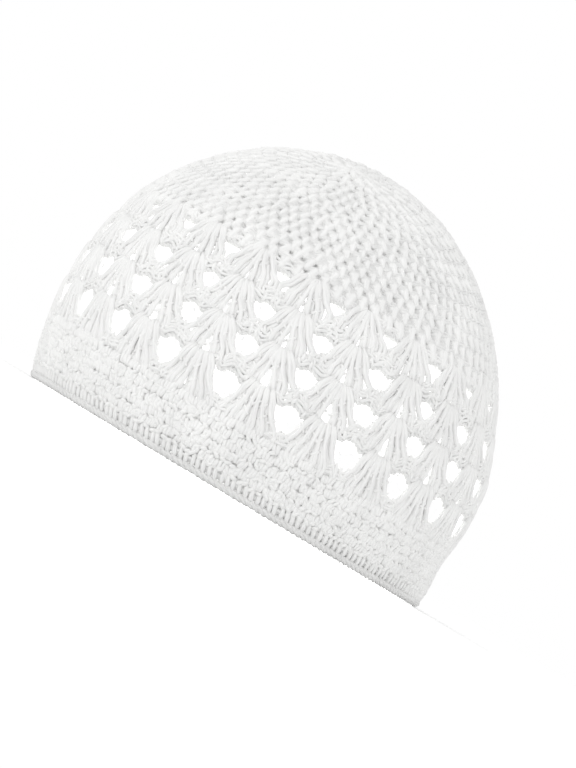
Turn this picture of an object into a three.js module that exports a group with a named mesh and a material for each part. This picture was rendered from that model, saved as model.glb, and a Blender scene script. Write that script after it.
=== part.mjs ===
// A soft white crocheted kufi, resting on its rim.
// Millimetres, +Z up, origin at the middle of the rim's plane, the front of the cap towards -Y.
// A place on the cap is given by a turn (radians from the front towards +X), by an arc (the way up
// the wall from the rim) and by a depth (the way in from the outer skin).
import * as THREE from 'three';

// Driving sizes
const BELLY_RADIUS = 95; // outer skin where the cap is widest
const BELLY_HEIGHT = 35; // where it is widest
const RIM_TUCK = 5; // how much narrower the rim is, which leaves room for a head of about 55 cm
const CAP_HEIGHT = 142; // rim to the highest point of the even dome
const WALL = 2.6; // crocheted fabric
const CROWN_WALL = 2.4; // the crown is worked a little thinner
const EDGE_HEIGHT = 3.4; // corded edge
const EDGE_WALL = 3.6; // the cord is thicker than the fabric
const BAND_TOP = 26; // arc where the plain band ends
const ROUND_HEIGHT = 15.2; // one round of fans
const COLUMNS = 22; // fans in a round, and holes in a row
const SEAM = 0.3; // clearance between two pieces

// The soft form: the crown nods to the front and a little to the left, so that its centre lies that
// way on the dome and the crown falls towards it, and the whole dome leans to the left.
const NOD_TURN = -24 * Math.PI / 180; // the side that the crown nods to
const CROWN_NOD = 17 * Math.PI / 180; // how far its centre lies from the top of the dome
const CROWN_FALL = Math.tan(9 * Math.PI / 180); // slope of the crown towards that side
const LEAN = -9; // sideways drift of the dome between its widest place and its top
const NUB_HEIGHT = 2.6; // the gathered start of the crochet stands up a little
const NUB_REACH = 13; // arc from the crown's centre over which it dies away

// Holes of each round of fans, from the band up, as shares of the column's width and of the round.
const HOLE_ROWS = [
  { width: 0.42, height: 0.68, top: 0.97 },
  { width: 0.38, height: 0.5, top: 0.92 },
  { width: 0.36, height: 0.4, top: 0.83 },
  { width: 0.28, height: 0.25, top: 0.77 },
];

// One hole, as shares of its half width and of its height: a flat top, sides that draw in to a blunt
// foot. The eight corners run round from the middle of the foot, and each faces the corner or the
// middle of the side of its cell.
const HOLE_OUTLINE = [
  { side: 0, rise: 0 },
  { side: 0.55, rise: 0.1 },
  { side: 1, rise: 0.68 },
  { side: 0.72, rise: 0.95 },
  { side: 0, rise: 1 },
  { side: -0.72, rise: 0.95 },
  { side: -1, rise: 0.68 },
  { side: -0.55, rise: 0.1 },
];
// The same eight places on the edge of a cell, in half columns and half rounds.
const CELL_OUTLINE = [
  { column: 1, round: 0 },
  { column: 2, round: 0 },
  { column: 2, round: 1 },
  { column: 2, round: 2 },
  { column: 1, round: 2 },
  { column: 0, round: 2 },
  { column: 0, round: 1 },
  { column: 0, round: 0 },
];

// Soft dents. angle and spread in degrees, height and reach as shares of CAP_HEIGHT, depth as a share
// of BELLY_RADIUS, negative where the wall swells.
const DENTS = [
  { angle: 84, height: 0.14, spread: 40, reach: 0.16, depth: 0.03 },
  { angle: 74, height: 0.4, spread: 34, reach: 0.12, depth: -0.012 },
  { angle: -62, height: 0.1, spread: 36, reach: 0.16, depth: 0.014 },
  { angle: 150, height: 0.22, spread: 44, reach: 0.22, depth: 0.022 },
  { angle: -146, height: 0.44, spread: 40, reach: 0.2, depth: 0.018 },
  { angle: 18, height: 0.68, spread: 40, reach: 0.12, depth: 0.02 },
];

// Worked out
const DOME_RISE = CAP_HEIGHT - BELLY_HEIGHT;
const DOME_ARC = (Math.PI / 4) * (BELLY_RADIUS + DOME_RISE);
const CROWN_ARC = BAND_TOP + ROUND_HEIGHT * HOLE_ROWS.length; // arc where the crown starts
const CENTRE_ARC = BELLY_HEIGHT + DOME_ARC; // arc at the centre of the crown
const CROWN_REACH = CENTRE_ARC - CROWN_ARC;
const COLUMN_TURN = (2 * Math.PI) / COLUMNS;
const FIRST_COLUMN = 0.35 * COLUMN_TURN; // the hole nearest to the front stands a little to the right

// Bell curve, 1 at the middle and near 0 past one reach.
function bell(share) {
  return Math.exp(-3 * share * share);
}

// How much the wall is pushed in at a turn and a height, as a share of its radius.
function dentAt(turn, height) {
  let push = 0;
  for (const dent of DENTS) {
    const away = turn - THREE.MathUtils.degToRad(dent.angle);
    const around = Math.atan2(Math.sin(away), Math.cos(away)) / THREE.MathUtils.degToRad(dent.spread);
    const above = (height / CAP_HEIGHT - dent.height) / dent.reach;
    push += dent.depth * bell(around) * bell(above);
  }
  return push;
}

// The cap's own surface: the point at a turn, an arc and a depth under the outer skin.
function capPoint(turn, arc, depth) {
  const crown = Math.max(0, (arc - CROWN_ARC) / CROWN_REACH); // 0 at the crown's edge, 1 at its centre
  const radius = BELLY_RADIUS - depth;
  const off = turn - NOD_TURN;
  let ahead; // towards the side that the crown nods to
  let aside; // square to it
  let height;
  if (arc < BELLY_HEIGHT) {
    const below = 1 - arc / BELLY_HEIGHT;
    const drawnIn = radius - RIM_TUCK * below * below;
    ahead = drawnIn * Math.cos(off);
    aside = drawnIn * Math.sin(off);
    height = arc;
  } else {
    const polar = (Math.PI / 2) * (1 - (arc - BELLY_HEIGHT) / DOME_ARC);
    const nod = CROWN_NOD * crown;
    const flat = Math.sin(polar) * Math.cos(off);
    ahead = radius * (flat * Math.cos(nod) + Math.cos(polar) * Math.sin(nod));
    aside = radius * Math.sin(polar) * Math.sin(off);
    height = BELLY_HEIGHT + (DOME_RISE - depth) * (Math.cos(polar) * Math.cos(nod) - flat * Math.sin(nod));
    height -= CROWN_FALL * crown * ahead;
    height += NUB_HEIGHT * bell((CENTRE_ARC - arc) / NUB_REACH);
  }
  const round = 1 - dentAt(turn, height) * Math.min(1, (CENTRE_ARC - arc) / CROWN_REACH);
  const right = ahead * Math.sin(NOD_TURN) + aside * Math.cos(NOD_TURN);
  const front = ahead * Math.cos(NOD_TURN) - aside * Math.sin(NOD_TURN);
  const lean = LEAN * (height - BELLY_HEIGHT) / DOME_RISE;
  return [right * round + lean, -front * round, height];
}

// A closed surface that is built up from shared points and three-cornered faces.
class Shell {
  constructor() {
    this.points = [];
    this.faces = [];
  }

  point(turn, arc, depth) {
    this.points.push(...capPoint(turn, arc, depth));
    return this.points.length / 3 - 1;
  }

  // Two faces, with the four corners in order round the outside.
  quad(a, b, c, d) {
    this.faces.push(a, b, c, a, c, d);
  }

  mesh(name, material) {
    const geometry = new THREE.BufferGeometry();
    geometry.setAttribute('position', new THREE.Float32BufferAttribute(this.points, 3));
    geometry.setIndex(this.faces);
    geometry.computeVertexNormals();
    const mesh = new THREE.Mesh(geometry, material);
    mesh.name = name;
    return mesh;
  }
}

// Turns of the two lines that each column has: its edge and its middle.
function halfColumnTurn(half) {
  return FIRST_COLUMN + (half - 1) * COLUMN_TURN / 2;
}

// A ring round the cap whose cross-section is a closed loop of arc and depth, the outer skin upwards.
function ringShell(section) {
  const shell = new Shell();
  const rings = [];
  for (let half = 0; half < 2 * COLUMNS; half++) {
    rings.push(section.map(({ arc, depth }) => shell.point(halfColumnTurn(half), arc, depth)));
  }
  for (let half = 0; half < rings.length; half++) {
    const here = rings[half];
    const next = rings[(half + 1) % rings.length];
    for (let i = 0; i < section.length; i++) {
      const up = (i + 1) % section.length;
      shell.quad(here[i], next[i], next[up], here[up]);
    }
  }
  return shell;
}

// Even steps from one arc to another, both ends among them.
function steps(from, to, count) {
  return Array.from({ length: count + 1 }, (_, i) => from + (to - from) * i / count);
}

function edging() {
  const round = { low: 0.3 * EDGE_HEIGHT, high: 0.7 * EDGE_HEIGHT };
  const proud = (EDGE_WALL - WALL) / 2; // the cord stands out as much on each side of the wall
  const flat = EDGE_WALL / 4; // how far in from its sides the cord's flat foot starts
  const outside = -proud;
  const inside = EDGE_WALL - proud;
  return ringShell([
    { arc: 0, depth: outside + flat },
    { arc: round.low, depth: outside },
    { arc: round.high, depth: outside },
    { arc: EDGE_HEIGHT, depth: outside + flat },
    { arc: EDGE_HEIGHT, depth: inside - flat },
    { arc: round.high, depth: inside },
    { arc: round.low, depth: inside },
    { arc: 0, depth: inside - flat },
  ]);
}

function band() {
  const levels = steps(EDGE_HEIGHT + SEAM, BAND_TOP, 4);
  return ringShell([
    ...levels.map((arc) => ({ arc, depth: 0 })),
    ...levels.toReversed().map((arc) => ({ arc, depth: WALL })),
  ]);
}

// The fans: a wall of cells, each with its hole cut through.
function openworkSide() {
  const shell = new Shell();
  const foot = BAND_TOP + SEAM;
  const head = CROWN_ARC - SEAM;
  const halfRounds = 2 * HOLE_ROWS.length;
  const levelArc = (level) => Math.min(head, Math.max(foot, BAND_TOP + level * ROUND_HEIGHT / 2));
  const gridOf = (depth) => Array.from({ length: halfRounds + 1 }, (_, level) => (
    Array.from({ length: 2 * COLUMNS }, (_, half) => shell.point(halfColumnTurn(half), levelArc(level), depth))
  ));
  const outer = gridOf(0);
  const inner = gridOf(WALL);

  HOLE_ROWS.forEach((hole, row) => {
    const top = BAND_TOP + (row + hole.top) * ROUND_HEIGHT;
    const bottom = top - hole.height * ROUND_HEIGHT;
    const halfWidth = hole.width * COLUMN_TURN / 2;
    for (let column = 0; column < COLUMNS; column++) {
      const middle = halfColumnTurn(2 * column + 1);
      const rimOf = (depth) => HOLE_OUTLINE.map(({ side, rise }) => (
        shell.point(middle + side * halfWidth, bottom + rise * (top - bottom), depth)
      ));
      const cellOf = (grid) => CELL_OUTLINE.map((corner) => (
        grid[2 * row + corner.round][(2 * column + corner.column) % (2 * COLUMNS)]
      ));
      const [holeOut, holeIn] = [rimOf(0), rimOf(WALL)];
      const [cellOut, cellIn] = [cellOf(outer), cellOf(inner)];
      for (let i = 0; i < HOLE_OUTLINE.length; i++) {
        const next = (i + 1) % HOLE_OUTLINE.length;
        shell.quad(cellOut[i], cellOut[next], holeOut[next], holeOut[i]);
        shell.quad(cellIn[next], cellIn[i], holeIn[i], holeIn[next]);
        shell.quad(holeOut[i], holeOut[next], holeIn[next], holeIn[i]);
      }
    }
  });

  for (let half = 0; half < 2 * COLUMNS; half++) {
    const next = (half + 1) % (2 * COLUMNS);
    shell.quad(outer[0][next], outer[0][half], inner[0][half], inner[0][next]);
    shell.quad(outer[halfRounds][half], outer[halfRounds][next], inner[halfRounds][next], inner[halfRounds][half]);
  }
  return shell;
}

// The crown: two skins that close at its centre, joined along its edge.
function crown() {
  const shell = new Shell();
  const levels = steps(CROWN_ARC, CENTRE_ARC, 12).slice(0, -1);
  const skinOf = (depth) => ({
    rings: levels.map((arc) => (
      Array.from({ length: 2 * COLUMNS }, (_, half) => shell.point(halfColumnTurn(half), arc, depth))
    )),
    centre: shell.point(0, CENTRE_ARC, depth),
  });
  const outer = skinOf(0);
  const inner = skinOf(CROWN_WALL);
  for (let half = 0; half < 2 * COLUMNS; half++) {
    const next = (half + 1) % (2 * COLUMNS);
    for (let level = 0; level < levels.length - 1; level++) {
      const [low, high] = [outer.rings[level], outer.rings[level + 1]];
      const [lowIn, highIn] = [inner.rings[level], inner.rings[level + 1]];
      shell.quad(low[half], low[next], high[next], high[half]);
      shell.quad(lowIn[next], lowIn[half], highIn[half], highIn[next]);
    }
    const last = levels.length - 1;
    shell.faces.push(outer.rings[last][half], outer.rings[last][next], outer.centre);
    shell.faces.push(inner.rings[last][next], inner.rings[last][half], inner.centre);
    shell.quad(outer.rings[0][next], outer.rings[0][half], inner.rings[0][half], inner.rings[0][next]);
  }
  return shell;
}

function cotton(color) {
  return new THREE.MeshStandardMaterial({ color, roughness: 0.95, metalness: 0 });
}

const kufi = new THREE.Group();
kufi.name = 'kufi';
kufi.add(edging().mesh('edging', cotton(0xf0efeb)));
kufi.add(band().mesh('band', cotton(0xf1f0ec)));
kufi.add(openworkSide().mesh('openwork_side', cotton(0xf2f1ed)));
kufi.add(crown().mesh('crown', cotton(0xf3f2ee)));

export default kufi;
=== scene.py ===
"""A soft white crocheted kufi that rests on its rim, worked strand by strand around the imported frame.

Sizes are in millimetres and become metres as each strand is placed. A place on the cap is given by a
turn (radians from the front towards +X), by an arc (the way up the wall from the rim) and by a lift
(the way out from the middle of the wall).
"""
import math

import bmesh
import bpy
import numpy as np
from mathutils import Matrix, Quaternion, Vector


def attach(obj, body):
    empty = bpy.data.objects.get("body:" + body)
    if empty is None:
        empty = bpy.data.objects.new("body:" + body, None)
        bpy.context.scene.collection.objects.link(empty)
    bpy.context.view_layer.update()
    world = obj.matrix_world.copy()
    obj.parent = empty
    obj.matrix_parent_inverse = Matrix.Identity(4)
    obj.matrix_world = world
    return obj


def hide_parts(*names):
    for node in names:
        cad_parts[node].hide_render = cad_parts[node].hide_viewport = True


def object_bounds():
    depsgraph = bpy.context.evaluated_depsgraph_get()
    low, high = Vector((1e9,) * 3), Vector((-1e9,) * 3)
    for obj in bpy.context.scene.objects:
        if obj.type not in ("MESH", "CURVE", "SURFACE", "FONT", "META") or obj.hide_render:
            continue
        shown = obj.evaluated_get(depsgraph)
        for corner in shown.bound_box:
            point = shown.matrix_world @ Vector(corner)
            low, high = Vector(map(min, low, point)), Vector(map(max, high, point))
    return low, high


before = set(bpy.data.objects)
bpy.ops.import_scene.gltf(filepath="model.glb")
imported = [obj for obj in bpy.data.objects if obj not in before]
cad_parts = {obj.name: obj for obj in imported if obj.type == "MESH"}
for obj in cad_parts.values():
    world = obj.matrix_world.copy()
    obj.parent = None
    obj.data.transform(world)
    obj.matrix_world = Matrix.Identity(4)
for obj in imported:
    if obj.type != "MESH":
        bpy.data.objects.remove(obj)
cad_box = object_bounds()

MM = 0.001

# The cap's form, the same sizes as in its solids
BELLY_RADIUS = 95
BELLY_HEIGHT = 35
RIM_TUCK = 5  # how far the rim is drawn in under the belly
CAP_HEIGHT = 142
WALL = 2.6
EDGE_HEIGHT = 3.4
BAND_TOP = 26
ROUND_HEIGHT = 15.2
COLUMNS = 22
FIRST_HOLE = 0.35  # place of the first column of holes, in columns from the front
NOD_TURN = math.radians(-24)  # the way that the crown nods, from the front
CROWN_NOD = math.radians(17)
CROWN_FALL = math.tan(math.radians(9))  # slope that the nodding crown sinks by
LEAN = -9  # how far the top leans towards +X
NUB_HEIGHT = 2.6  # the small rise at the crown's centre
NUB_REACH = 13

# Holes of each round of fans, from the band up: shares of the column's width and of the round
HOLE_ROWS = [
    {"width": 0.42, "height": 0.68, "top": 0.97},
    {"width": 0.38, "height": 0.5, "top": 0.92},
    {"width": 0.36, "height": 0.4, "top": 0.83},
    {"width": 0.28, "height": 0.25, "top": 0.77},
]

# Soft dents: angle and spread in degrees, height and reach as shares of the cap's height, depth as a
# share of its radius
DENTS = [
    {"angle": 84, "height": 0.14, "spread": 40, "reach": 0.16, "depth": 0.03},
    {"angle": 74, "height": 0.4, "spread": 34, "reach": 0.12, "depth": -0.012},
    {"angle": -62, "height": 0.1, "spread": 36, "reach": 0.16, "depth": 0.014},
    {"angle": 150, "height": 0.22, "spread": 44, "reach": 0.22, "depth": 0.022},
    {"angle": -146, "height": 0.44, "spread": 40, "reach": 0.2, "depth": 0.018},
    {"angle": 18, "height": 0.68, "spread": 40, "reach": 0.12, "depth": 0.02},
]

# Worked out
DOME_RISE = CAP_HEIGHT - BELLY_HEIGHT
DOME_ARC = (math.pi / 4) * (BELLY_RADIUS + DOME_RISE)
CROWN_ARC = BAND_TOP + ROUND_HEIGHT * len(HOLE_ROWS)
CENTRE_ARC = BELLY_HEIGHT + DOME_ARC
CROWN_REACH = CENTRE_ARC - CROWN_ARC
COLUMN_TURN = 2 * math.pi / COLUMNS
FIRST_SPINE = (FIRST_HOLE - 0.5) * COLUMN_TURN

# Yarn
YARN = 2  # thickness of one strand of a fan
STRAND_SIDES = 6
SEAM = 0.001  # distance within which a strand's end caps are joined to it
PLY_PITCH = 1.7  # length over which the yarn's own plies turn once
PLY_RELIEF = 0.2  # depth of the groove between the plies
# The darkest and the lightest white, and where each begins in the soft blotches
WHITES = [
    (0.3, (0.82, 0.82, 0.814, 1)),
    (0.7, (0.88, 0.88, 0.873, 1)),
]
ALONG = np.array([-1, -0.5, 0.5, 1])  # places along a short strand, from one end to the other

# Fans, from the band up. In shares of the half column: half the width of the gather that a fan
# leaves, and the place of its middle posts' feet. Crowding draws the inner posts to the spine.
FAN_ROWS = [
    {"gather": 0.3, "parting": 0.2, "crowding": 0.4},
    {"gather": 0.24, "parting": 0.27, "crowding": 0.9},
    {"gather": 0.22, "parting": 0.24, "crowding": 1},
    {"gather": 0.2, "parting": 0.2, "crowding": 1},
]
# Lift of a fan's strands, and their thickness as a share of the full one, by the share of the round,
# down from its top
FAN_LIFT = [(-0.12, 0.1), (-0.02, 0.5), (0.12, 0.55), (0.35, 0.35), (0.8, 0.3), (0.94, 0.3), (1, 0)]
FAN_TAPER = [(-0.12, 0.55), (0, 1), (0.9, 1), (1, 0.7)]
FAN_POINTS = 10  # points along each strand of a fan
HOLE_ROOM = 0.08  # from a hole's edge to the middle of the strand beside it, in half columns
POSTS = 3  # posts on each side of a fan's spine
LAST_POST = 0.92  # place of the outermost post, as a share of the fan's side
POST_GAP = (0.06, 0.085)  # from a post's middle to its two strands, in shares of the fan's side
POST_LIFT = 0.3  # how far one strand of a post passes over the other
BAND_REACH = (0.3, 3.4)  # how far the lowest fans' strands run down into the band
FLANK_YARN = 1.7  # strand along a fan's side
BACKING_YARN = 2.4  # strands behind a fan's posts
SPINE_YARN = 1.8  # strand behind a fan's spine
BACKING_LIFT = -0.6
BACKING_PLACES = (0.42, 0.75)  # in shares of the fan's side
EVERY_OTHER = slice(1, None, 2)  # points that a backing strand runs through
SPINE_TOP = slice(1, 6, 2)  # and those of a spine's backing that stops over the gap under it

# Turns of yarn round a fan's posts
WRAP = 1.25  # thickness
WRAP_REACH = 1.5 * np.array([-1, -0.45, 0.45, 1])  # across the post
WRAP_RISE = 2.4 * np.array([-0.5, -0.3, 0.3, 0.5])
WRAP_CHANCE = 0.7
WRAP_PLACES = ((0.3, 0.42), (0.58, 0.74))  # shares of the round, down from its top
WRAP_ARCH = np.array([-0.2, 0.6, 0.6, -0.2])

# Chained edge that each round of fans hangs from
CHAIN = 1.35  # thickness of each of its two strands
CHAIN_REACH = 1.1  # how far it reaches below its own line
CHAIN_WAVE = 0.5  # how far its strands swing up and down
CHAIN_STEPS = 5  # points to each chain stitch
CHAIN_SUNK = 0.8  # how far it sinks behind the gather of a fan
SHOULDER = 0.22  # how far it hangs at a hole's upper corners, as a share of the hole's height

# Lintels: cords stacked along the lower edge of each round of fans and of the crown, over each hole,
# and their reach to each side of its middle, in half columns
LINTELS = [
    {"count": 3, "reach": 0.42},
    {"count": 4, "reach": 0.73},
    {"count": 4, "reach": 0.73},
    {"count": 4, "reach": 0.73},
    {"count": 2, "reach": 0.7},
]
LINTEL_FOOT = 1.3  # height of the lowest cord over the edge
LINTEL_PITCH = 1.35  # from one cord to the next
LINTEL_STEP = 0.09  # how much less each cord reaches than the one under it
LINTEL_POINTS = 15
LINTEL_WAVE = 0.35  # how far a cord waves up and down
LINTEL_TIES = 2  # short strands that cross each cord
TIE_RISE = 1.3  # half of a tie's height
TIE_SLANT = np.array([-1, -0.4, 0.4, 1])
TIE_ARCH = np.array([-0.1, 0.8, 0.8, -0.1])

# Crown
CROWN_ROUNDS = 17
CROWN_SHIFT = 0.5  # how far each round is shifted from the one below, in stitches
SHORT_ROW_FROM = 6.7  # height of a crown round from which a short row divides it
CROWN_STITCH = 4.5  # least width of one pair of legs
CROWN_COUNTS = [round(COLUMNS * share) for share in (4, 3, 2, 1.5, 1, 0.5)]
CENTRE_COUNT = 6  # stitches of the rounds that are too narrow for any of these counts
CROWN_DROP_REACH = 16  # arc over which the hang of the crown's lower edge fades
LAST_ARC = CENTRE_ARC - 1.2  # the stitches stop here, short of the centre
# One leg of a stitch, from its head to its foot: height as a share of the course, sideways lean, lift
# and thickness as a share of the leg's
CROWN_LEG = {
    "rise": np.array([1.1, 0.8, 0.5, 0.2, -0.1]),
    "lean": np.array([1, 0.5, 0, -0.5, -1]),
    "lift": np.array([-0.4, 0, -0.1, 0, -0.4]),
    "thickness": np.array([1.1, 1.3, 1.2, 1.3, 1]),
}
LEG_SHARE = 0.4  # thickness of a leg as a share of the stitch's width
LEG_MOST = 2.5
LEG_GAP = 0.19  # from a stitch's middle to its two legs, in stitches
LEG_LIFT = 0.35  # how far one leg passes over the other
CORD = 1.7  # thickness of the cords between the rounds
CORD_RISES = (-0.55, 0.55)  # their places above and below the line between two rounds
SHORT_CORD_RISES = (-0.5, 0.5)
CORD_WAVE = 0.2  # how far they wave up and down from stitch to stitch
SUNK_END = -0.8  # lift of the ends of a short row's cords
CROWN_STEPS = 3  # points of the cords and of the backing to each stitch
FEWEST_POINTS = 30
CORD_BACKING = {"lift": -1.1, "thickness": 3.2}
# Backing behind the stitches, with a dip between each two, which is seen as a small dark gap
BACKING_SHARES = (0.35, 0.67)
STITCH_BACKING = {"lift": -1.05, "thickness": 3.8}
DIP = (0.1, 1.6)

# Band
BAND_ROUNDS = 5
BAND_STITCH = 2.8
# One leg of a stitch, from its head to its foot: height as a share of the round, sideways lean and
# spread, lift and thickness
BAND_LEG = {
    "rise": np.array([1.15, 0.8, 0.3, 0]),
    "lean": np.array([0.5, 0.25, -0.25, -0.5]),
    "spread": np.array([1, 1.1, 0.9, 0.5]),
    "lift": np.array([-0.6, 0.4, 0.35, -0.7]),
    "thickness": np.array([1.4, 2, 1.9, 1.4]),
}
TOP_UNEVENNESS = np.array([2, 1.4, 0.7, 0.3])  # how much more the top round's stitches vary in height
LINK_WIDTH = np.array([-0.45, -0.2, 0.2, 0.45])  # in stitches
LINK_ARCH = np.array([-0.4, 0.8, 0.8, -0.4])
# Backing behind each round, by the share of the round's height, and behind the fans' feet
BAND_BACKING = [
    {"share": 0.5, "lift": -0.75, "thickness": 2.6},
    {"share": 0, "lift": -0.85, "thickness": 2.4},
]
TOP_BACKING = {"arc": BAND_TOP + 0.7, "lift": -1, "thickness": 3}
RING_POINTS = 300  # of each plain ring round the band

# Slots: the open row of posts just above the corded edge
SLOT_HEIGHT = 3.7
SLOT_PITCH = 2.65
SLOT_TOP = EDGE_HEIGHT + SLOT_HEIGHT
SLOT_POST = {
    "arc": np.array([EDGE_HEIGHT - 0.9, EDGE_HEIGHT + 0.8, SLOT_TOP - 1, SLOT_TOP + 0.5]),
    "slant": np.array([0, 0.3, 0.7, 1]),
    "lift": np.array([-0.3, 0.3, 0.3, -0.1]),
}
SLOT_CORD = {"lift": -0.25, "thickness": 1.3}
SLOT_BACKING = {"lift": -1.6, "thickness": 4}

# Corded edge
EDGE_STRANDS = 3
EDGE_YARN = 1.9
EDGE_TWISTS = 70
EDGE_STEPS = 8  # points to each twist
EDGE_MIDDLE = 1.8  # arc of the cord's middle
EDGE_SWING = (0.75, 0.7)  # how far its strands swing up and down, and out and in

# Camera: the photograph's angle, from just above the floor
CAMERA_DISTANCE = 1.5
CAMERA_HEIGHT = 0.008
CAMERA_TURN = math.radians(31)
CAMERA_LENS = 234
SENSOR_WIDTH = 36
PHOTO_SIZE = (576, 768)
PHOTO_CENTRE = (267, 376)  # middle of the cap's outline in the photograph
OUTLINE_CENTRE = (247.5, 424.5)  # where that middle would lie without a shift

rng = np.random.default_rng(11)


def within(reach):
    """A random number up to reach on either side of 0."""
    return rng.uniform(-reach, reach)


def ring(count):
    """count turns, evenly placed round the cap."""
    return np.linspace(0, 2 * math.pi, count, endpoint=False)


def bell(share):
    """1 in the middle, almost 0 from a share of 1 on."""
    return np.exp(-3 * share * share)


def eased(share):
    """A smooth step from 0 to 1."""
    share = np.clip(share, 0, 1)
    return share * share * (3 - 2 * share)


def dent_at(turn, height):
    """How far the dents push the wall in, as a share of its radius."""
    push = 0
    for dent in DENTS:
        away = turn - math.radians(dent["angle"])
        around = np.arctan2(np.sin(away), np.cos(away)) / math.radians(dent["spread"])
        above = (height / CAP_HEIGHT - dent["height"]) / dent["reach"]
        push = push + dent["depth"] * bell(around) * bell(above)
    return push


def cap_points(turn, arc, lift):
    """Places on the cap in metres, one row each."""
    crown = np.maximum(0, (arc - CROWN_ARC) / CROWN_REACH)
    depth = WALL / 2 - lift
    radius = BELLY_RADIUS - depth
    off = turn - NOD_TURN
    below = np.maximum(0, 1 - arc / BELLY_HEIGHT)
    polar = (math.pi / 2) * (1 - np.maximum(0, arc - BELLY_HEIGHT) / DOME_ARC)
    nod = CROWN_NOD * crown
    flat = np.sin(polar) * np.cos(off)
    drawn_in = RIM_TUCK * below ** 2
    ahead = radius * (flat * np.cos(nod) + np.cos(polar) * np.sin(nod)) - drawn_in * np.cos(off)
    aside = (radius * np.sin(polar) - drawn_in) * np.sin(off)
    height = (DOME_RISE - depth) * (np.cos(polar) * np.cos(nod) - flat * np.sin(nod))
    height = height + np.minimum(arc, BELLY_HEIGHT) - CROWN_FALL * crown * ahead
    height = height + NUB_HEIGHT * bell((CENTRE_ARC - arc) / NUB_REACH)
    round_ = 1 - dent_at(turn, height) * np.minimum(1, (CENTRE_ARC - arc) / CROWN_REACH)
    right = ahead * math.sin(NOD_TURN) + aside * math.cos(NOD_TURN)
    front = ahead * math.cos(NOD_TURN) - aside * math.sin(NOD_TURN)
    lean = LEAN * (height - BELLY_HEIGHT) / DOME_RISE
    return MM * np.column_stack([right * round_ + lean, -front * round_, height])


def radius_at(arc):
    """How far the wall stands from the cap's axis, before its dents."""
    below = max(0, 1 - arc / BELLY_HEIGHT)
    polar = (math.pi / 2) * (1 - max(0, arc - BELLY_HEIGHT) / DOME_ARC)
    return BELLY_RADIUS * math.sin(polar) - RIM_TUCK * below ** 2


def smooth_line(guide, count):
    """count rows, evenly placed along a smooth line through the rows of guide."""
    guide = np.asarray(guide, float)
    padded = np.vstack([2 * guide[0] - guide[1], guide, 2 * guide[-1] - guide[-2]])
    at = np.linspace(0, len(guide) - 1, count)
    first = np.minimum(at.astype(int), len(guide) - 2)
    t = (at - first)[:, None]
    a, b, c, d = (padded[first + k] for k in range(4))
    bend = (2 * a - 5 * b + 4 * c - d) * t ** 2 + (3 * b - a - 3 * c + d) * t ** 3
    return 0.5 * (2 * b + (c - a) * t + bend)


class Yarn:
    """The strands of one piece, each a smooth round strand along its points."""

    def __init__(self):
        self.strands = []

    def lay(self, turn, arc, lift, thickness, closed=False):
        turn, arc, lift, thickness = np.broadcast_arrays(turn, arc, lift, thickness)
        self.strands.append((cap_points(turn, arc, lift), thickness / 2, closed))

    def piece(self, name, slot):
        """Bevels every strand, joins them in one mesh and gives the mesh the cotton yarn. The slot is
        not used.
        """
        curve = bpy.data.curves.new(name, "CURVE")
        curve.dimensions = "3D"
        curve.bevel_depth = MM
        curve.bevel_resolution = 1
        curve.use_fill_caps = True
        quads = []
        for points, radius, closed in self.strands:
            spline = curve.splines.new("POLY")
            spline.points.add(len(points) - 1)
            spline.points.foreach_set("co", np.column_stack([points, np.ones(len(points))]).ravel())
            spline.points.foreach_set("radius", radius)
            spline.use_cyclic_u = closed
            quads.append(STRAND_SIDES * (len(points) if closed else len(points) - 1))
        thread = bpy.data.objects.new(name, curve)
        bpy.context.scene.collection.objects.link(thread)
        bpy.context.view_layer.update()
        mesh = bpy.data.meshes.new_from_object(thread)
        bpy.data.objects.remove(thread)
        self.measure(mesh, quads)
        build = bmesh.new()
        build.from_mesh(mesh)
        bmesh.ops.remove_doubles(build, verts=build.verts, dist=SEAM * MM)
        build.to_mesh(mesh)
        build.free()
        mesh.name = name
        piece = bpy.data.objects.new(name, mesh)
        bpy.context.scene.collection.objects.link(piece)
        mesh.shade_smooth()
        mesh.materials.clear()
        mesh.materials.append(COTTON_YARN)
        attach(piece, "root")
        return piece

    def measure(self, mesh, quads):
        """Makes the UV map's V, which runs along each strand, count in millimetres."""
        lengths = []
        for points, _, closed in self.strands:
            line = np.vstack([points, points[:1]]) if closed else points
            lengths.append(np.linalg.norm(np.diff(line, axis=0), axis=1).sum() / MM)
        caps = len(mesh.polygons) - sum(quads)  # triangles, which come before all quads
        stretch = np.concatenate([np.ones(3 * caps), np.repeat(np.repeat(lengths, quads), 4)])
        layer = mesh.uv_layers[0].uv
        uv = np.empty(2 * len(layer))
        layer.foreach_get("vector", uv)
        uv = uv.reshape(-1, 2)
        uv[:, 1] *= stretch
        layer.foreach_set("vector", uv.ravel())


# Materials


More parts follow.
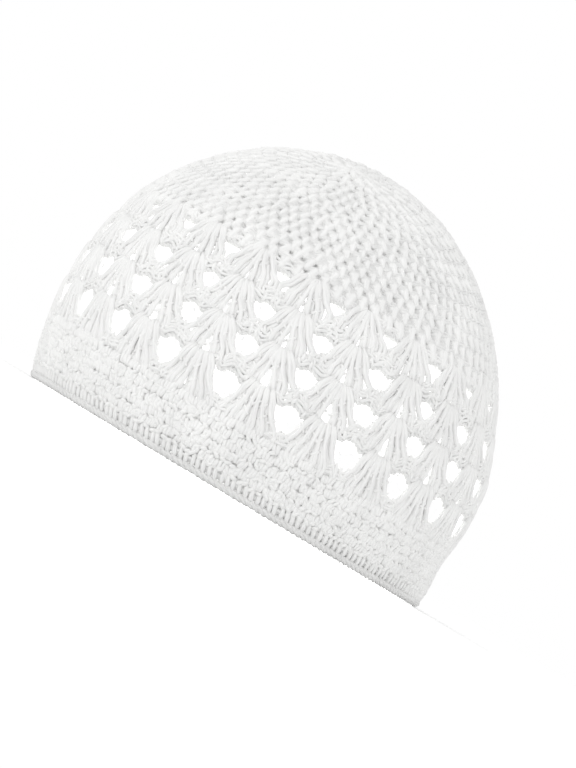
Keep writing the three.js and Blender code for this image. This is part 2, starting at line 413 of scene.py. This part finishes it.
def yarn_material():
    """Matt white cotton yarn: two turned plies, fine fibres and slightly uneven white."""
    material = bpy.data.materials.new("cotton_yarn")
    material.use_nodes = True
    nodes = material.node_tree.nodes
    links = material.node_tree.links
    shader = nodes["Principled BSDF"]
    shader.inputs["Roughness"].default_value = 0.92
    shader.inputs["Specular IOR Level"].default_value = 0.15

    place = nodes.new("ShaderNodeTexCoord")
    blotches = nodes.new("ShaderNodeTexNoise")
    blotches.inputs["Scale"].default_value = 90
    blotches.inputs["Detail"].default_value = 3
    whites = nodes.new("ShaderNodeValToRGB")
    for stop, (position, white) in zip(whites.color_ramp.elements, WHITES):
        stop.position = position
        stop.color = white
    links.new(place.outputs["Object"], blotches.inputs["Vector"])
    links.new(blotches.outputs["Fac"], whites.inputs["Fac"])
    links.new(whites.outputs["Color"], shader.inputs["Base Color"])

    # Plies: a wave that climbs round the strand once in each pitch
    slant = nodes.new("ShaderNodeMapping")
    slant.inputs["Scale"].default_value = (2, 1 / PLY_PITCH, 1)
    split = nodes.new("ShaderNodeSeparateXYZ")
    climb = nodes.new("ShaderNodeMath")
    climb.operation = "ADD"
    wave = nodes.new("ShaderNodeMath")
    wave.operation = "PINGPONG"
    wave.inputs[1].default_value = 0.5
    fibres = nodes.new("ShaderNodeTexNoise")
    fibres.inputs["Scale"].default_value = 3
    fibres.inputs["Detail"].default_value = 2
    relief = nodes.new("ShaderNodeMath")
    relief.operation = "MULTIPLY_ADD"
    relief.inputs[1].default_value = 0.35
    bump = nodes.new("ShaderNodeBump")
    bump.inputs["Distance"].default_value = PLY_RELIEF * MM
    bump.inputs["Strength"].default_value = 0.5
    links.new(place.outputs["UV"], slant.inputs["Vector"])
    links.new(slant.outputs["Vector"], split.inputs["Vector"])
    links.new(split.outputs["X"], climb.inputs[0])
    links.new(split.outputs["Y"], climb.inputs[1])
    links.new(climb.outputs["Value"], wave.inputs[0])
    links.new(slant.outputs["Vector"], fibres.inputs["Vector"])
    links.new(fibres.outputs["Fac"], relief.inputs[0])
    links.new(wave.outputs["Value"], relief.inputs[2])
    links.new(relief.outputs["Value"], bump.inputs["Height"])
    links.new(bump.outputs["Normal"], shader.inputs["Normal"])
    return material


COTTON_YARN = yarn_material()


# The fans


def spine_turn(column):
    return FIRST_SPINE + column * COLUMN_TURN


def from_spine(turn):
    """0 on a spine, 1 on the middle line of the holes between two spines."""
    columns = (turn - FIRST_SPINE) / COLUMN_TURN
    return 2 * np.abs(columns - np.round(columns))


def edge_sag(level):
    """How far the lower edge of a round hangs over the middle of the holes under it."""
    if level == 0:
        return 0
    room = (1 - HOLE_ROWS[level - 1]["top"]) * ROUND_HEIGHT
    return room - CHAIN_REACH


def edge_arc(level, turn):
    """The line along which a round of fans hangs from the one above, arched over each hole."""
    sag = edge_sag(level) * eased((from_spine(turn) - 0.1) / 0.5)
    if level:
        hole = HOLE_ROWS[level - 1]
        shoulder = (from_spine(turn) - (1 - 0.85 * hole["width"])) / 0.15
        sag = sag + SHOULDER * hole["height"] * ROUND_HEIGHT * np.exp(-shoulder * shoulder)
    return BAND_TOP + level * ROUND_HEIGHT - sag


def fan_side(hole, gather):
    """The side of a fan: shares of the half column and of the round, down from its top.
    It leaves the gather, runs down beside the hole and closes under it on the next fan's."""
    above = 1 - hole["top"]
    beside = 1 - hole["width"] - HOLE_ROOM
    return [
        (gather, -0.12),
        (gather + 0.55 * (beside - gather), 0.05),
        (beside, above + 0.22 * hole["height"]),
        (beside + 0.23 * hole["width"], above + 0.62 * hole["height"]),
        (1 - 0.42 * hole["width"], above + hole["height"] + 0.02),
        (0.93, above + hole["height"] + 0.12),
        (0.92, 1),
    ]


def fan(yarn, wraps, row, column):
    """Posts from one gather, each of two strands that cross once, over a backing of single ones.
    A short turn of yarn wraps each post here and there, as in a tall crochet stitch."""
    form = FAN_ROWS[row]
    spine = spine_turn(column) + within(0.03) * COLUMN_TURN
    side, down = smooth_line(fan_side(HOLE_ROWS[row], form["gather"]), FAN_POINTS).T
    foot = BAND_TOP + row * ROUND_HEIGHT
    height = np.interp(down, *np.transpose(FAN_LIFT))
    taper = np.interp(down, *np.transpose(FAN_TAPER))
    part = np.clip(down, 0, 1)

    def place(share, flank):
        """The line of a strand that keeps to this share of the fan's side."""
        below = np.where(down < 0, down * (0.5 + 0.7 * np.abs(share)), down)
        out = side * np.abs(share) ** (1 + form["crowding"] * (1 - part))
        turn = spine + flank * out * COLUMN_TURN / 2
        return turn, foot + (1 - below) * ROUND_HEIGHT - (foot - edge_arc(row, turn)) * part ** 2

    def lay(share, flank, lift, thickness, points=slice(None)):
        turn, arc = place(share, flank)
        if row == 0:
            arc = arc - rng.uniform(*BAND_REACH) * eased((down - 0.7) / 0.3)
        lift = np.broadcast_to(lift, down.shape)
        yarn.lay(turn[points], arc[points], lift[points], (thickness * taper)[points])

    def wrap(share, flank, at):
        turn, arc = place(share, flank)
        middle = [np.interp(at, down, values) for values in (turn, arc, height)]
        across = flank * WRAP_REACH / radius_at(foot)
        lift = middle[2] - 0.3 * share + WRAP_ARCH
        wraps.lay(middle[0] + across, middle[1] + WRAP_RISE, lift, WRAP)

    for flank in (-1, 1):
        width = rng.uniform(0.97, 1.05)
        for post in np.linspace(form["parting"], LAST_POST, POSTS):
            crossing = math.pi * rng.uniform(0.8, 1.3) * (1 - down) + within(0.5)
            apart = rng.uniform(*POST_GAP) * flank * np.cos(crossing)
            sway = post * width + within(0.025) * part
            sunk = height - 0.4 * post * eased((down - 0.45) / 0.3) + within(0.12)
            for strand in (-1, 1):
                lift = sunk + strand * POST_LIFT * np.sin(crossing)
                lay(sway + strand * apart, flank, lift, YARN)
            for at in [rng.uniform(*places) for places in WRAP_PLACES]:
                if rng.random() < WRAP_CHANCE:
                    wrap(post * width, flank, at)
        lay(width, flank, height - 0.5, FLANK_YARN)
        for share in BACKING_PLACES:
            lay(share, flank, BACKING_LIFT, BACKING_YARN, EVERY_OTHER)
    lay(0, 1, BACKING_LIFT, SPINE_YARN, EVERY_OTHER if row == 0 else SPINE_TOP)


def openwork_fans():
    yarn, wraps = Yarn(), Yarn()
    for row in range(len(HOLE_ROWS)):
        for column in range(COLUMNS):
            fan(yarn, wraps, row, column)
    wraps.piece("openwork_wraps", "openwork_cotton")
    return yarn.piece("openwork_fans", "openwork_cotton")


def wandering(turn, reach, knots=60):
    """A random wave round the cap, which closes on itself."""
    waves = rng.normal(size=knots - 1)
    places = np.linspace(0, 2 * math.pi, knots)
    return reach * np.interp(turn % (2 * math.pi), places, np.append(waves, waves[0]))


def lintels(yarn, level, column):
    """Short wavy cords between the feet of two fans, stacked under one hole and over the next."""
    across = np.linspace(-1, 1, LINTEL_POINTS)
    middle = spine_turn(column + 0.5)
    radius = radius_at(BAND_TOP + level * ROUND_HEIGHT)
    for course in range(LINTELS[level]["count"]):
        reach = LINTELS[level]["reach"] + within(0.05) - LINTEL_STEP * course
        rise = LINTEL_FOOT + LINTEL_PITCH * course
        turn = middle + (across * reach + within(0.04)) * COLUMN_TURN / 2
        beats = math.pi * reach * rng.uniform(3, 4.6)
        angle = beats * across + rng.uniform(0, 2 * math.pi)
        arc = edge_arc(level, turn) + rise + LINTEL_WAVE * np.sin(angle)
        lift = 0.45 - 1.2 * across ** 4 + 0.3 * np.cos(angle)
        yarn.lay(turn, arc, lift, rng.uniform(1.3, 1.6))
        for _ in range(LINTEL_TIES):
            turn = middle + within(0.7) * reach * COLUMN_TURN / 2
            slant = within(1) * TIE_SLANT / radius
            arc = edge_arc(level, turn) + rise + TIE_RISE * ALONG
            yarn.lay(turn + slant, arc, TIE_ARCH, rng.uniform(1.1, 1.5))


def openwork_chains():
    """The chained edge that each round of fans hangs from, and the lintels of the holes."""
    yarn = Yarn()
    stitches = COLUMNS * (2 * POSTS + 1)
    turn = ring(stitches * CHAIN_STEPS)
    sunk = CHAIN_SUNK * (1 - eased(from_spine(turn) / 0.5))
    for level in range(1, len(HOLE_ROWS) + 1):
        wander = wandering(turn, 0.2)
        for phase in (0, math.pi):
            angle = turn * stitches + phase
            arc = edge_arc(level, turn) + wander + CHAIN_WAVE * np.cos(angle)
            yarn.lay(turn, arc, -0.15 - sunk + 0.4 * np.sin(angle), CHAIN, closed=True)
    for level in range(len(LINTELS)):
        for column in range(COLUMNS):
            lintels(yarn, level, column)
    return yarn.piece("openwork_chains", "openwork_cotton")


# The crown


def crown_edge_drop(turn, arc):
    """Lets the crown's lowest rounds hang down to the tops of the highest holes."""
    sag = edge_sag(len(HOLE_ROWS)) * eased((from_spine(turn) - 0.1) / 0.5)
    return arc - sag * np.clip(1 - (arc - CROWN_ARC) / CROWN_DROP_REACH, 0, 1)


def crown_count(low):
    """Stitches of a crown round: four to a column at first, fewer as the rounds close in."""
    room = 2 * math.pi * radius_at(low) / CROWN_STITCH
    return max([count for count in CROWN_COUNTS if count <= room], default=CENTRE_COUNT)


def crown_round(number):
    """A round's foot and height, its number of stitches and the turn where the first one starts."""
    height = CROWN_REACH / CROWN_ROUNDS
    low = CROWN_ARC + number * height
    count = crown_count(low)
    return low, height, count, FIRST_SPINE + CROWN_SHIFT * number * 2 * math.pi / count


def crown_courses(turn, low, height):
    """1, or 2 where a round is so tall behind the nodding crown that a short row divides it."""
    ends = cap_points(np.array([turn, turn]), np.array([low, low + height]), np.zeros(2))
    return 2 if np.linalg.norm(ends[1] - ends[0]) > SHORT_ROW_FROM * MM else 1


def crown_stitches():
    """Rounds of stitches, each of two crossed legs, with a small gap between it and the next."""
    yarn = Yarn()
    for number in range(CROWN_ROUNDS):
        low, height, count, first = crown_round(number)
        pitch = 2 * math.pi / count
        leg = min(LEG_SHARE * pitch * radius_at(low), LEG_MOST)
        for stitch in range(count):
            middle = first + (stitch + 0.5 + within(0.09)) * pitch
            lean = pitch * rng.uniform(-0.2, 0.04)
            courses = crown_courses(middle, low, height)
            for course in range(courses):
                thickness = leg * rng.uniform(0.9, 1.2) * CROWN_LEG["thickness"]
                start = rng.uniform(0, 0.5)
                crossing = start + math.pi * rng.uniform(0.6, 1) * np.linspace(0, 1, 5)
                rise = height * (course + CROWN_LEG["rise"]) / courses
                for side in (-1, 1):
                    turn = middle + side * LEG_GAP * pitch * np.cos(crossing)
                    turn = turn + lean * CROWN_LEG["lean"]
                    arc = np.minimum(low + rise + within(0.3), LAST_ARC)
                    lift = CROWN_LEG["lift"] + side * LEG_LIFT * np.sin(crossing)
                    yarn.lay(turn, crown_edge_drop(turn, arc), lift, thickness)
    return yarn.piece("crown_stitches", "crown_cotton")


def cord_lift(angle):
    """Lift of a cord: it rises between two stitches and sinks over the middle of each."""
    return 0.4 + 0.3 * np.cos(angle)


def short_row_cords(yarn, turn, number):
    """Two cords across the part of a round that a short row divides, sunk at both ends."""
    low, height, count, _ = crown_round(number)
    divided = np.array([crown_courses(at, low, height) == 2 for at in turn])
    if not divided.any():
        return
    start = np.flatnonzero(divided & ~np.roll(divided, 1))[0]
    short = np.roll(turn, -start)[:divided.sum()]
    angle = (short - FIRST_SPINE) * count
    for rise in SHORT_CORD_RISES:
        arc = low + 0.5 * height + rise * height / 7 + CORD_WAVE * np.cos(angle + rise)
        lift = cord_lift(angle)
        lift[[0, -1]] = SUNK_END
        yarn.lay(short, crown_edge_drop(short, arc), lift, CORD)


def crown_backing(yarn, turn, number):
    """Rings behind the cords and behind the stitches of a round, with dips between the stitches."""
    low, height, count, first = crown_round(number)
    behind = turn[::2]
    arc = crown_edge_drop(behind, np.full(len(behind), low))
    yarn.lay(behind, arc, CORD_BACKING["lift"], CORD_BACKING["thickness"], closed=True)
    points = CROWN_STEPS * count
    around = first + np.arange(points) / CROWN_STEPS * 2 * math.pi / count
    lift = STITCH_BACKING["lift"] + np.clip(wandering(around, 0.15, count), -0.3, 0.3)
    lift[::CROWN_STEPS] -= rng.uniform(*DIP, count)
    for share in BACKING_SHARES:
        arc = crown_edge_drop(around, np.full(points, low + share * height))
        yarn.lay(around, arc, lift, STITCH_BACKING["thickness"], closed=True)


def crown_cords():
    """The flat cords between the crown's rounds, and a backing behind each round."""
    yarn = Yarn()
    for number in range(CROWN_ROUNDS):
        low, _, count, first = crown_round(number)
        turn = ring(max(CROWN_STEPS * count, FEWEST_POINTS))
        angle = (turn - first) * count
        if number:
            for rise in CORD_RISES:
                arc = low + rise + CORD_WAVE * np.cos(angle + rise) + wandering(turn, 0.22)
                lift = cord_lift(angle)
                yarn.lay(turn, crown_edge_drop(turn, arc), lift, CORD, closed=True)
        short_row_cords(yarn, turn, number)
        crown_backing(yarn, turn, number)
    return yarn.piece("crown_cords", "crown_cotton")


# The band and the edge


def band_round(yarn, number):
    """One round of short stitches, each of two legs that part upwards, with a link over its foot."""
    height = (BAND_TOP - SLOT_TOP) / BAND_ROUNDS
    low = SLOT_TOP + number * height
    count = round(2 * math.pi * radius_at(low) / BAND_STITCH)
    pitch = 2 * math.pi / count
    first = rng.uniform(0, pitch)
    drift = wandering(first + np.arange(count) * pitch, 0.3)
    unevenness = TOP_UNEVENNESS if number == BAND_ROUNDS - 1 else 1
    for stitch in range(count):
        middle = first + (stitch + within(0.15)) * pitch
        lean = pitch * rng.uniform(-0.45, 0.6)
        nudge = drift[stitch] + within(0.5) * unevenness
        for side in (-1, 1):
            spread = side * rng.uniform(0.2, 0.3)
            turn = middle + lean * BAND_LEG["lean"] + pitch * spread * BAND_LEG["spread"]
            arc = low + height * BAND_LEG["rise"] + nudge + within(0.3)
            lift = BAND_LEG["lift"] + within(0.25)
            yarn.lay(turn, arc, lift, BAND_LEG["thickness"] * rng.uniform(0.85, 1.2))
        turn = middle + pitch * (LINK_WIDTH + within(0.3))
        arc = low + within(1.3) * ALONG + within(0.6)
        yarn.lay(turn, arc, LINK_ARCH, rng.uniform(1.5, 1.9))
    for backing in BAND_BACKING:
        arc = low + backing["share"] * height
        yarn.lay(ring(count), arc, backing["lift"], backing["thickness"], closed=True)


def slot_row(yarn):
    """The open row above the corded edge: slanted posts over one thin cord and a deep backing."""
    around = ring(RING_POINTS)
    middle = EDGE_HEIGHT + SLOT_HEIGHT / 2
    lift = wandering(around, 0.35, 200) + SLOT_CORD["lift"]
    yarn.lay(around, middle, lift, SLOT_CORD["thickness"], closed=True)
    yarn.lay(around, middle, SLOT_BACKING["lift"], SLOT_BACKING["thickness"], closed=True)
    count = round(2 * math.pi * radius_at(EDGE_HEIGHT) / SLOT_PITCH)
    pitch = 2 * math.pi / count
    for slot in range(count):
        turn = (slot + within(0.14)) * pitch
        turn = turn - rng.uniform(0.2, 0.6) * pitch * SLOT_POST["slant"]
        yarn.lay(turn, SLOT_POST["arc"], SLOT_POST["lift"], rng.uniform(1.75, 2.2))


def band_stitches():
    """Close rounds of short stitches over one row of slots."""
    yarn = Yarn()
    for number in range(BAND_ROUNDS):
        band_round(yarn, number)
    top = TOP_BACKING
    yarn.lay(ring(RING_POINTS), top["arc"], top["lift"], top["thickness"], closed=True)
    slot_row(yarn)
    return yarn.piece("band_stitches", "band_cotton")


def edge_cords():
    """One thick cord of turned strands along the rim."""
    yarn = Yarn()
    turn = ring(EDGE_TWISTS * EDGE_STEPS)
    for strand in range(EDGE_STRANDS):
        angle = turn * EDGE_TWISTS + strand * 2 * math.pi / EDGE_STRANDS
        arc = EDGE_MIDDLE + EDGE_SWING[0] * np.cos(angle)
        yarn.lay(turn, arc, EDGE_SWING[1] * np.sin(angle), EDGE_YARN, closed=True)
    return yarn.piece("edge_cords", "edging_cotton")


# Floor, lights and camera


def studio_floor():
    mesh = bpy.data.meshes.new("studio_floor")
    build = bmesh.new()
    bmesh.ops.create_grid(build, x_segments=1, y_segments=1, size=6)
    build.to_mesh(mesh)
    build.free()
    floor = bpy.data.objects.new("studio_floor", mesh)
    bpy.context.scene.collection.objects.link(floor)
    paper = bpy.data.materials.new("studio_paper")
    paper.use_nodes = True
    shader = paper.node_tree.nodes["Principled BSDF"]
    shader.inputs["Base Color"].default_value = (1, 1, 1, 1)
    shader.inputs["Roughness"].default_value = 1
    shader.inputs["Specular IOR Level"].default_value = 0
    mesh.materials.append(paper)


def soft_light(name, place, target, size, power):
    lamp = bpy.data.lights.new(name, "AREA")
    lamp.shape = "SQUARE"
    lamp.size = size
    lamp.energy = power
    light = bpy.data.objects.new(name, lamp)
    light.location = place
    light.rotation_euler = (Vector(target) - Vector(place)).to_track_quat("-Z", "Y").to_euler()
    light.visible_camera = False
    bpy.context.scene.collection.objects.link(light)


def studio_light(middle):
    world = bpy.data.worlds.new("studio")
    bpy.context.scene.world = world
    world.use_nodes = True
    sky = world.node_tree.nodes["Background"]
    sky.inputs["Color"].default_value = (1, 1, 1, 1)
    sky.inputs["Strength"].default_value = 1
    soft_light("key", (-1, -0.9, 0.8), middle, size=1.2, power=2.6)
    soft_light("low_fill", (-0.3, -1.3, 0.22), middle, size=0.4, power=0.45)
    glow = bpy.data.lights.new("hollow_fill", "POINT")
    glow.energy = 0.3
    glow.shadow_soft_size = 0.03
    fill = bpy.data.objects.new("hollow_fill", glow)
    fill.location = middle
    fill.visible_camera = False
    bpy.context.scene.collection.objects.link(fill)
    bpy.context.scene.view_settings.view_transform = "Standard"


def studio_camera(middle):
    lens = bpy.data.cameras.new("camera")
    lens.sensor_fit = "HORIZONTAL"
    lens.sensor_width = SENSOR_WIDTH
    lens.lens = CAMERA_LENS
    lens.clip_start = 0.01
    camera = bpy.data.objects.new("camera", lens)
    place = Vector((0, -CAMERA_DISTANCE, CAMERA_HEIGHT))
    look = (Vector(middle) - place).to_track_quat("-Z", "Y")
    camera.location = place
    camera.rotation_euler = (look @ Quaternion((0, 0, 1), CAMERA_TURN)).to_euler()
    lens.shift_x = (OUTLINE_CENTRE[0] - PHOTO_CENTRE[0]) / PHOTO_SIZE[0]
    lens.shift_y = (PHOTO_CENTRE[1] - OUTLINE_CENTRE[1]) / PHOTO_SIZE[0]
    bpy.context.scene.collection.objects.link(camera)
    bpy.context.scene.camera = camera


fans = openwork_fans()
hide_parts("openwork_side")
openwork_chains()
crown = crown_stitches()
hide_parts("crown")
crown_cords()
band = band_stitches()
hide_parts("band")
edging = edge_cords()
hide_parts("edging")

centre = (Vector(cad_box[0]) + Vector(cad_box[1])) / 2
studio_floor()
studio_light(centre)
studio_camera(centre)
